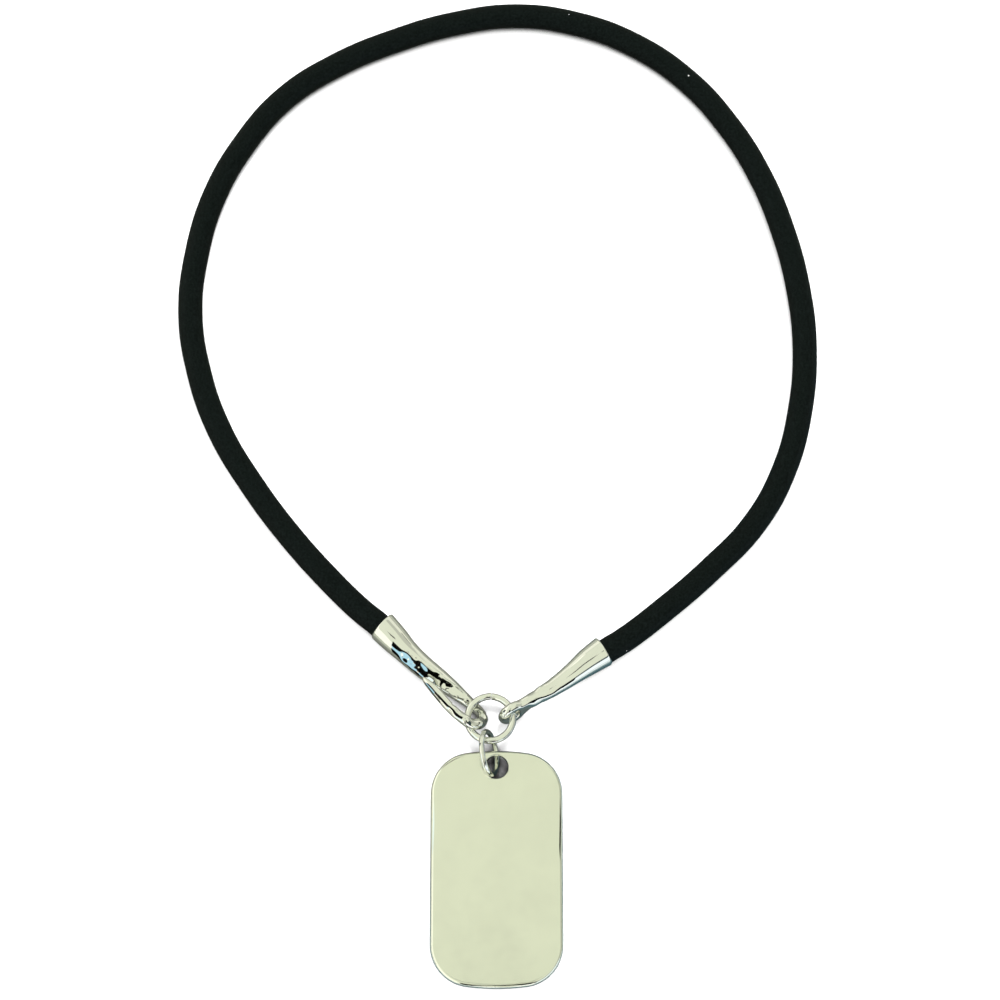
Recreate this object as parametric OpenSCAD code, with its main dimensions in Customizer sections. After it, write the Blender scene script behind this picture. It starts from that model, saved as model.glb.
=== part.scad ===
// Identification dog tag on a rubber cord necklace, lying on a flat surface.
// The tag points towards -Y and the cord's loop lies towards +Y. All sizes are millimetres.

/* [Tag] */
// Width of the tag
tag_w = 28; // [24:0.5:34]
// Length of the tag
tag_l = 50; // [42:0.5:60]
// Thickness of the tag
tag_t = 2; // [1.4:0.1:2.8]
// Radius of the tag's four corners
tag_corner_r = 8.8; // [6:0.1:10]
// Radius of the arch that each end of the tag follows
tag_end_r = 50; // [40:1:90]
// Radius of the tag's rounded edge
tag_edge_r = 0.9; // [0.4:0.1:0.95]
// Diameter of the tag's hole
hole_d = 5; // [4.4:0.1:6]
// From the middle of the hole to the tag's end
hole_inset = 3.5; // [3.4:0.1:6]
// Width of the bevel around the hole
hole_bevel = 0.3; // [0.1:0.05:0.5]

/* [Jump ring] */
// Outer diameter of the jump ring
jump_d = 10.2; // [9.8:0.1:12]
// Diameter of the jump ring's wire
jump_wire = 1.15; // [0.9:0.05:1.3]
// How far the jump ring leans from upright, in degrees
jump_lean = 20; // [10:1:28]
// How far the jump ring is turned about the upright, in degrees
jump_turn = 5; // [0:1:10]

/* [Clasp ring] */
// Outer diameter of the clasp ring
ring_d = 11.2; // [10.6:0.1:14]
// Diameter of the clasp ring's wire
ring_wire = 1.5; // [1.2:0.05:1.7]
// Width of the open joint in the clasp ring
ring_joint = 0.25; // [0.1:0.05:0.5]
// Direction of that joint, in degrees from +X
ring_joint_dir = 87; // [70:1:110]
// How far the clasp ring's tag side is raised, in degrees
ring_tilt = 3; // [0:0.5:5]

/* [End caps] */
// Outer diameter of the caps at the rim that takes the cord
rim_d = 6.8; // [6.5:0.1:8]
// Depth of the socket that takes the cord's end
socket_depth = 4; // [3:0.1:5]
// Diameter of the socket's closed end
socket_end_d = 4.7; // [4:0.1:4.9]

/* [Hook cap] */
// Length of the hook cap from its rim to the start of its bend
hook_l = 27.1; // [24:0.1:34]
// Diameter of the hook where it bends
hook_wire = 2.2; // [1.8:0.05:2.4]
// Free room in the hook beside the clasp ring's wire
hook_room = 2.9; // [2.8:0.1:3.6]
// How steeply the hook's plane stands, in degrees from flat
hook_roll = 49; // [48:1:56]
// Length of the return arm from the bend to its tip
arm_l = 12.4; // [9:0.1:14]
// Sideways bow of the hook cap
hook_bow = 0.8; // [0:0.05:1.2]
// Direction of the hook, in degrees from +X
hook_dir = -41; // [-48:1:-34]
// Direction of the hook cap's socket, in degrees from +X
hook_socket_dir = -45; // [-50:1:-41]

/* [Eye cap] */
// Length of the eye cap from its rim to the middle of its eye
eye_l = 23.9; // [20:0.1:30]
// Diameter of the eye's hole
eye_hole_d = 2.4; // [2.2:0.05:3]
// Thickness of the eye
eye_wire = 2.2; // [1.8:0.05:2.6]
// Diameter of the neck before the eye
neck_d = 2.5; // [2.2:0.05:3]
// How far the eye leans from upright, in degrees
eye_roll = 13; // [0:1:20]
// Sideways bow of the eye cap
eye_bow = 1.3; // [0:0.05:1.6]
// Direction of the eye cap, in degrees from +X
eye_dir = -149; // [-156:0.5:-140]
// Direction of the eye cap's socket, in degrees from +X
eye_socket_dir = -145; // [-150:0.5:-141]
// Where the eye sits on the clasp ring, in degrees from +X
eye_seat_dir = 16; // [5:1:30]

/* [Cord] */
// Diameter of the rubber cord
cord_d = 5.5; // [4.8:0.1:5.6]

/* [Hidden] */
$fn = 64;

// Running gap between loose pieces, and the glue gap around the cord in its socket
gap = 0.1;
glue_gap = 0.05;

// Sides of a casting's sections and of the cord's
cast_sides = 20;
cord_sides = 12;

// Steps along the castings, and round the tag's outline and edge
body_steps = 24;
bend_steps = 14;
arm_steps = 20;
corner_steps = 14;
arch_steps = 8;
edge_steps = 7;

// Columns of the tables below, after the share of the length in the first one
BOW = 1;
GROWTH = 2;
ACROSS = 1;
UP = 2;
WIDTH = 3;
THICKNESS = 4;
SPREAD = 1;

// The hook cap's body, from the rim to the bend: share of the length, share of the bow,
// and the radius as a share of the way from the bend's radius to the rim's
HOOK_BODY = [
    [0.00, 0.00, 1.00],
    [0.15, 0.45, 0.89],
    [0.30, 0.85, 0.68],
    [0.45, 1.00, 0.60],
    [0.60, 0.75, 0.52],
    [0.75, 0.35, 0.34],
    [0.88, 0.08, 0.12],
    [1.00, 0.00, 0.00]
];

// The return arm, from the bend to the tip: share of the arm's length, shares of the bend's reach
// across and up, and shares of the wire's width and thickness
HOOK_ARM = [
    [0.00, 1.00, 1.00, 1.00, 1.00],
    [0.25, 1.00, 1.00, 1.02, 0.96],
    [0.50, 0.91, 1.00, 1.00, 0.88],
    [0.75, 0.80, 0.96, 0.90, 0.74],
    [0.90, 0.75, 0.90, 0.64, 0.56],
    [0.97, 0.72, 0.87, 0.38, 0.36],
    [1.00, 0.70, 0.85, 0.10, 0.10]
];

// The eye cap's body, from the rim to the eye: share of the length, share of the bow,
// and the radius as a share of the way from the neck's radius to the rim's
EYE_BODY = [
    [0.00, 0.00, 1.00],
    [0.17, 0.20, 0.82],
    [0.33, 0.56, 0.57],
    [0.50, 0.88, 0.38],
    [0.67, 1.00, 0.24],
    [0.84, 0.98, 0.09],
    [1.00, 1.05, 0.00]
];

// How the neck spreads up and down into the eye: share of the neck's length, and its height as a
// share of its width
EYE_SPREAD = [
    [0.00, 1.00],
    [0.75, 1.00],
    [0.88, 1.30],
    [1.00, 2.00]
];

// The clasp ring: its place, and the radius of its wire's middle line
ring_at = [-0.4, 16.9];
ring_r = (ring_d - ring_wire) / 2;

// The sockets lie a little towards the tag and below the middle of their rims
rim_r = rim_d / 2;
socket_side = 0.25;
socket_drop = 0.15;
socket_z = rim_r - socket_drop;

// The hook cap: the shank's underside is raised at the bend, the ring's wire lies back from it, and
// the return arm's middle line lies a gap from the shank's
hook_lift = 0.25;
hook_slack = 0.8;
hook_r = hook_wire / 2;
shank_z = hook_r + hook_lift;
hook_gap = hook_wire + ring_wire + hook_room;
hook_reach = hook_gap * cos(hook_roll);
hook_rise = hook_gap * sin(hook_roll);
hook_at = ring_at - (ring_r + hook_l - hook_slack) * [cos(hook_dir), sin(hook_dir)];

// The eye cap: the eye stands on the surface and holds the ring's wire, and the neck's middle line
// ends a little above the eye's middle, inside its near side
neck_rise = 0.5;
neck_r = neck_d / 2;
eye_r = (eye_hole_d + eye_wire) / 2;
eye_z = eye_r + eye_wire / 2;
neck_l = eye_l - eye_r + eye_wire / 8;
eye_side = eye_bow * EYE_BODY[len(EYE_BODY) - 1][BOW];
eye_seat = (eye_hole_d - ring_wire) / 2 - 3 * gap;
eye_mid = ring_at + (ring_r + eye_seat) * [cos(eye_seat_dir), sin(eye_seat_dir)];
eye_at = eye_mid - eye_l * [cos(eye_dir), sin(eye_dir)] - eye_side * [-sin(eye_dir), cos(eye_dir)];

// Height of the clasp ring's middle, from the shank that it rests on
ring_z = shank_z + hook_r + ring_wire / 2 + 2 * gap + ring_r * sin(-hook_dir) * sin(ring_tilt);

// The jump ring leans on the surface and holds the clasp ring's wire
jump_side = 0.2;
jump_r = (jump_d - jump_wire) / 2;
jump_z = jump_r * cos(jump_lean) + jump_wire / 2;
ring_low = [ring_at[0], ring_at[1] - ring_r * cos(ring_tilt), ring_z + ring_r * sin(ring_tilt)];
held_r = jump_r - jump_wire / 2 - ring_wire / 2 - 1.5 * gap;
jump_rise = (jump_z - ring_low[2]) / cos(jump_lean);
jump_at = [ring_at[0] - jump_side, ring_low[1] - sqrt(held_r ^ 2 - jump_rise ^ 2), jump_z];

// The tag rests on the jump ring's lower side and on its own far end
tag_raise = jump_wire + gap;
face_rise = (jump_z - tag_raise - tag_t) / cos(jump_lean);
wire_back = sqrt(jump_r ^ 2 - face_rise ^ 2);
wire_at = [
    jump_at[0] + face_rise * sin(jump_lean) + wire_back * sin(jump_turn),
    jump_at[1] - wire_back * cos(jump_turn)
];
hole_play = (hole_d - jump_wire) / 2 - 2 * gap;
hole_play_dir = 68;
hole_at = wire_at + hole_play * [cos(hole_play_dir), sin(hole_play_dir)];
tag_foot_y = hole_at[1] + hole_inset - tag_l;
tag_tilt = asin(tag_raise / (jump_at[1] - tag_foot_y - tag_edge_r));

// The tag's outline: the turn of its corners, and the middles of the upper end's arch and corner
corner_turn = 90 - asin((tag_w / 2 - tag_corner_r) / (tag_end_r - tag_corner_r));
arch_mid = [0, tag_l / 2 - tag_end_r];
corner_mid = arch_mid + (tag_end_r - tag_corner_r) * [cos(corner_turn), sin(corner_turn)];

// The cord's route, from the eye cap's rim round to the hook cap's rim, chosen by hand
CORD_ROUTE = [
    [28.6, 34.3, 3],
    [36.6, 40.5, 2.8],
    [47.5, 50, 2.75],
    [57.5, 60.5, 2.75],
    [64.5, 73, 2.75],
    [68.5, 87, 2.75],
    [70, 101.5, 2.75],
    [69, 116, 2.75],
    [66, 130, 2.75],
    [61, 144, 2.75],
    [54, 156.5, 2.75],
    [45, 167.5, 2.75],
    [33, 176.5, 2.75],
    [19.5, 182, 2.75],
    [5.5, 184, 2.75],
    [-9, 182, 2.75],
    [-23, 177.5, 2.75],
    [-36, 171.5, 2.75],
    [-48, 163, 2.75],
    [-57, 151.5, 2.75],
    [-63.5, 138.5, 2.75],
    [-67, 124.5, 2.75],
    [-68, 110, 2.75],
    [-65.5, 95.5, 2.75],
    [-60.5, 82, 2.75],
    [-53, 69.5, 2.75],
    [-44.5, 58, 2.75],
    [-35, 47.3, 2.8],
    [-28.4, 40.8, 3]
];

// Smooth curves through the rows of a table
function unit(v) = v / norm(v);
function row_of(rows, x, i = 0) =
    i >= len(rows) - 2 || x <= rows[i + 1][0] ? i : row_of(rows, x, i + 1);
function slope(rows, i, column) =
    let (a = rows[max(i - 1, 0)], b = rows[min(i + 1, len(rows) - 1)])
    (b[column] - a[column]) / (b[0] - a[0]);
function along(rows, x, column) =
    let (
        i = row_of(rows, x),
        a = rows[i],
        b = rows[i + 1],
        h = b[0] - a[0],
        t = (x - a[0]) / h
    )
    a[column] * (1 + 2 * t) * (1 - t) ^ 2 + b[column] * t ^ 2 * (3 - 2 * t)
    + slope(rows, i, column) * h * t * (1 - t) ^ 2
    - slope(rows, i + 1, column) * h * t ^ 2 * (1 - t);

// A place in a cap's own frame, where X runs from the rim along the axis, put in the part's frame
function placed(p, at, dir) = [
    at[0] + p[0] * cos(dir) - p[1] * sin(dir),
    at[1] + p[0] * sin(dir) + p[1] * cos(dir),
    p[2]
];

// A closed solid through rings of points, each ring turning the same way about the line of the rings
module shell(rings) {
    sides = len(rings[0]);
    last = len(rings) - 1;
    walls = [
        for (i = [0:last - 1], k = [0:sides - 1])
        let (
            a = i * sides + k,
            b = i * sides + (k + 1) % sides
        )
        each [[a, a + sides, b + sides], [a, b + sides, b]]
    ];
    near_end = [for (k = [0:sides - 1]) k];
    far_end = [for (k = [sides - 1:-1:0]) last * sides + k];
    polyhedron(points = [for (ring = rings) each ring], faces = concat(walls, [near_end, far_end]));
}

// A closed skin along a path, whose rows are [middle, half width, half height] of an oval section
function heading(path, i) =
    unit(path[min(i + 1, len(path) - 1)][0] - path[max(i - 1, 0)][0]);
function section(path, i, side, sides) =
    let (
        t = heading(path, i),
        s = unit(side - (side * t) * t),
        u = cross(t, s)
    )
    [
        for (k = [0:sides - 1])
        let (a = 360 * k / sides)
        path[i][0] + path[i][1] * cos(a) * s + path[i][2] * sin(a) * u
    ];
module skin(path, side, sides) {
    shell([for (i = [0:len(path) - 1]) section(path, i, side, sides)]);
}

// The tag's outline, drawn in by a given inset: two rounded corners and an arch at each end
function arc(mid, r, from, to, steps) =
    [for (i = [0:steps]) let (a = from + (to - from) * i / steps) mid + r * [cos(a), sin(a)]];
function end_outline(inset) =
    let (
        corner = arc(corner_mid, tag_corner_r - inset, 0, corner_turn, corner_steps),
        arch = arc(arch_mid, tag_end_r - inset, corner_turn, 180 - corner_turn, arch_steps)
    )
    concat(
        corner,
        [for (i = [1:arch_steps - 1]) arch[i]],
        [for (i = [corner_steps:-1:0]) [-corner[i][0], corner[i][1]]]
    );
function plate_ring(inset, z) =
    let (half = end_outline(inset))
    [for (turn = [1, -1], p = half) [turn * p[0], turn * p[1], z]];

// The plate: rings rise round the lower edge, up the side and round the upper edge
module plate() {
    quarter = [for (i = [0:edge_steps]) 90 * i / edge_steps];
    shell(concat(
        [for (a = quarter) plate_ring(tag_edge_r * (1 - sin(a)), tag_edge_r * (1 - cos(a)))],
        [for (a = quarter) plate_ring(tag_edge_r * (1 - cos(a)), tag_t - tag_edge_r * (1 - sin(a)))]
    ));
}

// The hole through the plate, bevelled on both faces
module hole_cut() {
    over = 1;
    wide_d = hole_d + 4 * hole_bevel;
    translate([0, 0, -over])
        cylinder(d = hole_d, h = tag_t + 2 * over);
    translate([0, 0, tag_t - hole_bevel])
        cylinder(d1 = hole_d, d2 = wide_d, h = 2 * hole_bevel);
    translate([0, 0, -hole_bevel])
        cylinder(d1 = wide_d, d2 = hole_d, h = 2 * hole_bevel);
}

module tag() {
    color([0.85, 0.86, 0.76])
        translate([hole_at[0], tag_foot_y, 0])
            rotate([tag_tilt, 0, 0])
                difference() {
                    translate([0, tag_l / 2, 0])
                        plate();
                    translate([0, tag_l - hole_inset, 0])
                        hole_cut();
                }
}

module jump_ring() {
    color([0.78, 0.79, 0.7])
        translate(jump_at)
            rotate([0, 0, jump_turn])
                rotate([0, 90 - jump_lean, 0])
                    rotate_extrude()
                        translate([jump_r, 0])
                            circle(d = jump_wire);
}

module clasp_ring() {
    joint_angle = ring_joint / ring_r * 180 / PI;
    color([0.84, 0.85, 0.8])
        translate([ring_at[0], ring_at[1], ring_z])
            rotate([-ring_tilt, 0, 0])
                rotate([0, 0, ring_joint_dir + joint_angle / 2])
                    rotate_extrude(angle = 360 - joint_angle)
                        translate([ring_r, 0])
                            circle(d = ring_wire);
}

// The hole that takes the cord's end: straight at its mouth, then tapered
module socket(at, dir) {
    over = 1;
    mouth = 1;
    mouth_d = cord_d + 2 * glue_gap;
    translate(at)
        rotate([0, 0, dir])
            rotate([0, 90, 0]) {
                translate([0, 0, -over])
                    cylinder(d = mouth_d, h = over + mouth);
                translate([0, 0, mouth])
                    cylinder(d1 = mouth_d, d2 = socket_end_d, h = socket_depth - mouth);
            }
}

// The hook cap in its own frame: the body lies along its lower side, and the bend turns back
// over the shank in a plane that leans by the roll
hook_socket_at = placed([0, -socket_side, socket_z], hook_at, hook_dir);
function hook_body_row(x) =
    let (r = hook_r + (rim_r - hook_r) * along(HOOK_BODY, x, GROWTH))
    [[x * hook_l, -hook_bow * along(HOOK_BODY, x, BOW), r + hook_lift * x], r, r];
function hook_bend_row(a) =
    let (back = (1 - cos(a)) / 2)
    [
        [hook_l + hook_gap / 2 * sin(a), -back * hook_reach, shank_z + back * hook_rise],
        hook_r,
        hook_r
    ];
function hook_arm_row(x) =
    [
        [
            hook_l - arm_l * x,
            -hook_reach * along(HOOK_ARM, x, ACROSS),
            shank_z + hook_rise * along(HOOK_ARM, x, UP)
        ],
        hook_r * along(HOOK_ARM, x, WIDTH),
        hook_r * along(HOOK_ARM, x, THICKNESS)
    ];

module hook_cap() {
    rows = concat(
        [for (i = [0:body_steps - 1]) hook_body_row(i / body_steps)],
        [for (i = [0:bend_steps]) hook_bend_row(180 * i / bend_steps)],
        [for (i = [1:arm_steps]) hook_arm_row(sin(90 * i / arm_steps))]
    );
    path = [for (row = rows) [placed(row[0], hook_at, hook_dir), row[1], row[2]]];
    // The hook's width lies across its plane
    side = placed([0, sin(hook_roll), cos(hook_roll)], [0, 0], hook_dir);
    color([0.83, 0.83, 0.77])
        difference() {
            skin(path, side, cast_sides);
            socket(hook_socket_at, hook_socket_dir);
        }
}

// The eye cap in its own frame: the neck leans up to the eye's middle and spreads into it
eye_socket_at = placed([0, socket_side, socket_z], eye_at, eye_dir);
function eye_row(x) =
    let (
        share = x * neck_l / eye_l,
        r = neck_r + (rim_r - neck_r) * along(EYE_BODY, share, GROWTH)
    )
    [
        [
            x * neck_l,
            eye_bow * along(EYE_BODY, share, BOW),
            rim_r + (eye_z + neck_rise - rim_r) * share
        ],
        r,
        r * along(EYE_SPREAD, x, SPREAD)
    ];

module eye_cap() {
    rows = [for (i = [0:body_steps]) eye_row(i / body_steps)];
    path = [for (row = rows) [placed(row[0], eye_at, eye_dir), row[1], row[2]]];
    side = placed([0, 1, 0], [0, 0], eye_dir);
    color([0.83, 0.83, 0.77])
        difference() {
            union() {
                skin(path, side, cast_sides);
                translate([eye_mid[0], eye_mid[1], eye_z])
                    rotate([0, 0, eye_dir])
                        rotate([eye_roll - 90, 0, 0])
                            rotate_extrude()
                                translate([eye_r, 0])
                                    circle(d = eye_wire);
            }
            socket(eye_socket_at, eye_socket_dir);
        }
}

// A row of the cord's path on a socket's axis, at a given depth in the socket
function cord_row(at, dir, depth, d) =
    [[at[0] + depth * cos(dir), at[1] + depth * sin(dir), at[2]], d / 2, d / 2];

// The cord tapers into the sockets at both ends
module rubber_cord() {
    tip = socket_depth - 2 * gap;
    tip_d = socket_end_d - 2 * glue_gap;
    shoulder = 0.8;
    outside = -0.5;
    path = concat(
        [
            cord_row(eye_socket_at, eye_socket_dir, tip, tip_d),
            cord_row(eye_socket_at, eye_socket_dir, shoulder, cord_d),
            cord_row(eye_socket_at, eye_socket_dir, outside, cord_d)
        ],
        [for (p = CORD_ROUTE) [p, cord_d / 2, cord_d / 2]],
        [
            cord_row(hook_socket_at, hook_socket_dir, outside, cord_d),
            cord_row(hook_socket_at, hook_socket_dir, shoulder, cord_d),
            cord_row(hook_socket_at, hook_socket_dir, tip, tip_d)
        ]
    );
    color([0.09, 0.1, 0.1])
        skin(path, [0, 0, 1], cord_sides);
}

tag();
jump_ring();
clasp_ring();
hook_cap();
eye_cap();
rubber_cord();
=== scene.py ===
# %% [markdown]
# # An identification dog tag on a rubber cord necklace
# The real thing is a polished steel plate on a jump ring, a bigger clasp ring, two cast steel caps and
# a thick black rubber cord. One cap ends in a hook that slips over the clasp ring, the other in an eye
# that stays on it. The construction comes ready made as a frame, and this lesson gives each piece its
# real finish. Everything is in metres, in the frame's own axes: the tag points to -Y, the cord to +Y.

# %% Load the frame
import math

import bmesh
import bpy
from mathutils import Matrix, Vector


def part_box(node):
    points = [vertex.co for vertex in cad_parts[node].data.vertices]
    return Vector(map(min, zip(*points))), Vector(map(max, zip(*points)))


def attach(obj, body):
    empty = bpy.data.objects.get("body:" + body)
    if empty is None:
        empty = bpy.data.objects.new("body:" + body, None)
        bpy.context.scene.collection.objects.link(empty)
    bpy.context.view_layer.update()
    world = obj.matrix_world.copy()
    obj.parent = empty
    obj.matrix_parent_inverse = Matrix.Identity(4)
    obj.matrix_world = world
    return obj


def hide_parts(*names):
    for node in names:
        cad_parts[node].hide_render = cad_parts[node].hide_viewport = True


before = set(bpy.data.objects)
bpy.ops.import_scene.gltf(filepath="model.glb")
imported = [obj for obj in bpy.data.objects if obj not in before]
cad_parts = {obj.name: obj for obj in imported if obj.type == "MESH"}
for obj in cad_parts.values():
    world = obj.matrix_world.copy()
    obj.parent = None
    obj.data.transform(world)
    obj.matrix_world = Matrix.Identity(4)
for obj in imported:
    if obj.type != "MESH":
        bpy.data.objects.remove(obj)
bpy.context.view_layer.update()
print("frame:", ", ".join(sorted(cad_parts)))

# %% [markdown]
# ## Camera
# The picture is taken from almost straight above, from the tag's side, with a long lens: a short one
# would make the near tag look too big. The camera is placed by its distance and its height angle from
# the point that it looks at, so that either can be changed alone.

# %% Camera
look_at = Vector((0.0017, 0.0668, 0))
camera_distance = 0.553
camera_elevation = math.radians(73.3)

bpy.ops.object.select_all(action="DESELECT")
bpy.ops.object.camera_add()
camera = bpy.context.object
camera.name = "camera"
camera.location = look_at + camera_distance * Vector(
    (0, -math.cos(camera_elevation), math.sin(camera_elevation))
)
camera.rotation_euler = (math.pi / 2 - camera_elevation, 0, 0)
camera.data.lens = 90
camera.data.sensor_width = 36
camera.data.clip_start = 0.01
camera.data.clip_end = 20
bpy.context.scene.camera = camera
print("camera", round(camera_distance * 1000), "mm from the middle of the necklace")

# %% [markdown]
# ## Places of the caps
# Each cap has its own frame: X runs from the rim that takes the cord towards the clasp ring, Y across
# it and Z up. The places follow from the clasp ring, which the loaded frame gives, and from the caps'
# lengths and directions. The rim sinks a little below the cap's own middle line, and the eye keeps
# some play on the ring, because nothing in a clasp fits tightly.

# %% Places of the caps
ring_low, ring_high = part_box("clasp_ring")
ring_mid = (ring_low + ring_high) / 2
ring_wire = 0.0015
ring_r = 0.00485

rim_r = 0.0034
rim_sink = 0.00015
socket_side = 0.00025
socket_z = rim_r - rim_sink
socket_depth = 0.004
socket_end_r = 0.00235

hook_length = 0.0271
hook_slack = 0.0008
hook_dir = math.radians(-41)
hook_socket_dir = math.radians(-45)

eye_length = 0.0239
eye_hole = 0.0024
eye_wire = 0.0022
eye_play = 0.0003
eye_bow = 0.0013
eye_bow_at_end = 1.05
eye_side = eye_bow_at_end * eye_bow
eye_dir = math.radians(-149)
eye_socket_dir = math.radians(-145)
eye_seat_dir = math.radians(16)


def toward(direction, distance=1.0):
    """A step along a level direction, which is an angle from +X."""
    return distance * Vector((math.cos(direction), math.sin(direction), 0))


def placed(point, start, direction):
    """A point of a cap's own frame, put in the necklace's frame."""
    side_step = toward(direction + math.pi / 2, point[1])
    place = start + toward(direction, point[0]) + side_step
    place.z = point[2]
    return place


hook_start = ring_mid - toward(hook_dir, ring_r + hook_length - hook_slack)
eye_seat = (eye_hole - ring_wire) / 2 - eye_play
eye_mid = ring_mid + toward(eye_seat_dir, ring_r + eye_seat)
eye_start = eye_mid - toward(eye_dir, eye_length) - toward(eye_dir + math.pi / 2, eye_side)
hook_socket = placed((0, -socket_side, socket_z), hook_start, hook_dir)
eye_socket = placed((0, socket_side, socket_z), eye_start, eye_dir)
print("hook cap's rim", [round(v * 1000, 1) for v in hook_socket], "mm")
print("eye cap's rim", [round(v * 1000, 1) for v in eye_socket], "mm")

# %% [markdown]
# ## Rubber cord
# The real cord is one solid 5.5 mm rubber cord, cut to about 415 mm and glued 3.8 mm deep into each
# cap. It lies flat in one open loop and rises a little to the rims. A curve with a round bevel is the
# honest way to make it: its length is that of the line, and its thickness the same all along. At both
# ends it narrows into the sockets, as squeezed rubber does. The bevel is set to a whole metre, and the
# radius of each point brings it down, so that the radius of a point is the radius of the cord there.

# %% Rubber cord
cord_r = 0.00275
cord_tip_r = 0.0023
cord_route = [
    (0.0286, 0.0343, 0.003),
    (0.0366, 0.0405, 0.0028),
    (0.0475, 0.05, 0.00275),
    (0.0575, 0.0605, 0.00275),
    (0.0645, 0.073, 0.00275),
    (0.0685, 0.087, 0.00275),
    (0.07, 0.1015, 0.00275),
    (0.069, 0.116, 0.00275),
    (0.066, 0.13, 0.00275),
    (0.061, 0.144, 0.00275),
    (0.054, 0.1565, 0.00275),
    (0.045, 0.1675, 0.00275),
    (0.033, 0.1765, 0.00275),
    (0.0195, 0.182, 0.00275),
    (0.0055, 0.184, 0.00275),
    (-0.009, 0.182, 0.00275),
    (-0.023, 0.1775, 0.00275),
    (-0.036, 0.1715, 0.00275),
    (-0.048, 0.163, 0.00275),
    (-0.057, 0.1515, 0.00275),
    (-0.0635, 0.1385, 0.00275),
    (-0.067, 0.1245, 0.00275),
    (-0.068, 0.11, 0.00275),
    (-0.0655, 0.0955, 0.00275),
    (-0.0605, 0.082, 0.00275),
    (-0.053, 0.0695, 0.00275),
    (-0.0445, 0.058, 0.00275),
    (-0.035, 0.0473, 0.0028),
    (-0.0284, 0.0408, 0.003),
]


def in_socket(start, direction, depth):
    """A point on a socket's axis, at a depth below its rim."""
    return start + toward(direction, depth)


tip_gap = 0.0002
tip_depth = socket_depth - tip_gap
shoulder_depth = 0.0008
outside_depth = -0.0005
depths = (tip_depth, shoulder_depth, outside_depth)
cord_start = [in_socket(eye_socket, eye_socket_dir, depth) for depth in depths]
cord_end = [in_socket(hook_socket, hook_socket_dir, depth) for depth in reversed(depths)]
cord_points = cord_start + [Vector(point) for point in cord_route] + cord_end

bpy.ops.object.select_all(action="DESELECT")
bpy.ops.curve.primitive_bezier_curve_add()
cord = bpy.context.object
cord.name = "rubber_cord_visible"
line = cord.data.splines[0]
line.bezier_points.add(len(cord_points) - len(line.bezier_points))
for point, place in zip(line.bezier_points, cord_points):
    point.co = place
    point.handle_left_type = "AUTO"
    point.handle_right_type = "AUTO"
    point.radius = cord_r
line.bezier_points[0].radius = cord_tip_r
line.bezier_points[-1].radius = cord_tip_r
cord.data.dimensions = "3D"
cord.data.resolution_u = 8
cord.data.bevel_depth = 1.0
cord.data.bevel_resolution = 10
cord.data.use_fill_caps = True
measured = line.calc_length()
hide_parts("rubber_cord")
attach(cord, "root")
print("cord", round(measured * 1000, 1), "mm along its middle")

# %% [markdown]
# ## Floor
# Small bright jewellery is pictured on a plain white sheet under a pale ceiling. Polished steel has
# hardly any colour of its own: it shows what stands around it. So the studio is built as carefully as
# the pieces: the sheet, a ceiling with a darker horizon, a soft key light and a set of cards.

# %% Floor
floor_size = 6.0
floor_z = -0.00002

bpy.ops.object.select_all(action="DESELECT")
bpy.ops.mesh.primitive_plane_add(size=floor_size, location=(0, 0, floor_z))
floor = bpy.context.object
floor.name = "floor"
print("floor", floor_size, "m wide")

# %% [markdown]
# ## Nodes in plain words
# A finish is a tree of nodes. By hand one adds a node, sets its fields and drags its links. Here one
# call does the three, so that each finish reads as a list of what it is made of.


# %% Nodes in plain words
def node(tree, kind, values=None, **settings):
    """Adds a node. Settings are its own options, and values fill its inputs or feed them."""
    made = tree.nodes.new("ShaderNode" + kind)
    for name, value in settings.items():
        setattr(made, name, value)
    for name, value in (values or {}).items():
        if isinstance(value, bpy.types.NodeSocket):
            tree.links.new(value, made.inputs[name])
        else:
            made.inputs[name].default_value = value
    return made


def empty_material(name):
    """A material with an output node and nothing else, and its node tree."""
    material = bpy.data.materials.new(name)
    material.use_nodes = True
    material.node_tree.nodes.clear()
    return material, material.node_tree


def ramp(tree, value, stops):
    """The colours of a ramp through stops of a place and a colour, the lowest place first."""
    made = node(tree, "ValToRGB", {"Fac": value})
    elements = made.color_ramp.elements
    elements[0].position, elements[0].color = stops[0]
    elements[1].position, elements[1].color = stops[-1]
    for place, colour in stops[1:-1]:
        elements.new(place).color = colour
    return made.outputs["Color"]


def blend(tree, share, first, second):
    """The colour between two colours, at a share of the way from the first to the second."""
    return node(tree, "Mix", {0: share, 6: first, 7: second}, data_type="RGBA").outputs[2]


print("helpers:", ", ".join(helper.__name__ for helper in (node, empty_material, ramp, blend)))

# %% [markdown]
# ## White sheet
# The camera sees bright white paper, but the metal that lies on it mirrors a darker, grey-green painted
# copy of it, warmer on the hook's side and cooler on the other. One paper can't be both, so the sheet
# has two diffuse finishes, and Light Path says whether a ray comes from gloss. Ambient occlusion
# measures
# how open the sky is above a point: within 30 mm of metal the mirrored paper grows dark with painted
# shade, deepest and blue-green on the cool side, and the seen one takes painted shade only where metal
# roofs it over closely, as in the tag's hole.

# %% White sheet
sheet_white = (0.92, 0.92, 0.92, 1)
# Painted shade: the seen paper turns this dark where metal roofs it over closely.
painted_roof_shade = (0.05, 0.05, 0.05, 1)
# The mirrored paper is a darker painted copy, and its shade tones are painted shade near metal.
cool_in_gloss = (0.35, 0.385, 0.395, 1)
warm_in_gloss = (0.23, 0.24, 0.197, 1)
cool_shade_in_gloss = (0.040, 0.072, 0.082, 1)
warm_shade_in_gloss = (0.110, 0.115, 0.098, 1)
shade_reach = 0.03
roof_reach = 0.006
side_turn = math.radians(37)
side_from, side_to = -0.012, 0.002

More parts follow.
